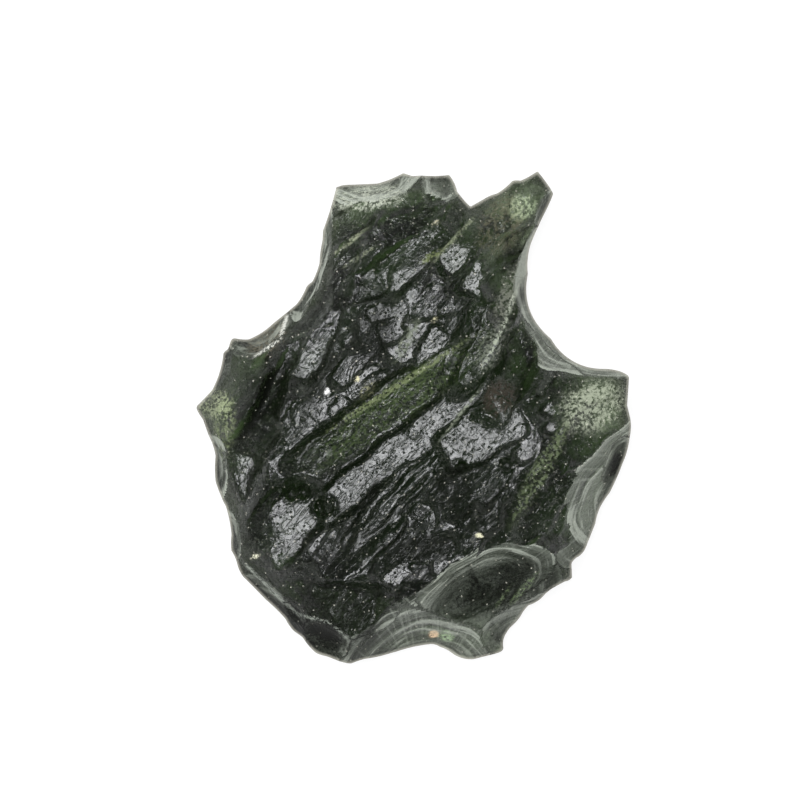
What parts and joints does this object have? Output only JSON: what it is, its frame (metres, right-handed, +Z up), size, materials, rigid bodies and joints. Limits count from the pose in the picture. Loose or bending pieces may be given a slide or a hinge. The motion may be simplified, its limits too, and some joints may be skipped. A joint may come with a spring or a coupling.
{
  "type": "moldavite",
  "caption": "Raw moldavite: a chipped lump of dark green natural glass with a fluted front, a deep notch, a small horn and a sharp rim, lying on its back.",
  "frame": {"origin": "middle of the stone's outline, on the surface it rests on", "axes": "+Z up through the thickness, out of the sculpted front; +Y along the length, towards the narrow block and the horn; +X across, towards the notched side"},
  "size_m": [0.0261, 0.0296, 0.0095],
  "materials": {
    "moldavite_glass": "gloss"
  },
  "bodies": {
    "root": {"moldavite": "moldavite_glass"}
  },
  "joints": []
}
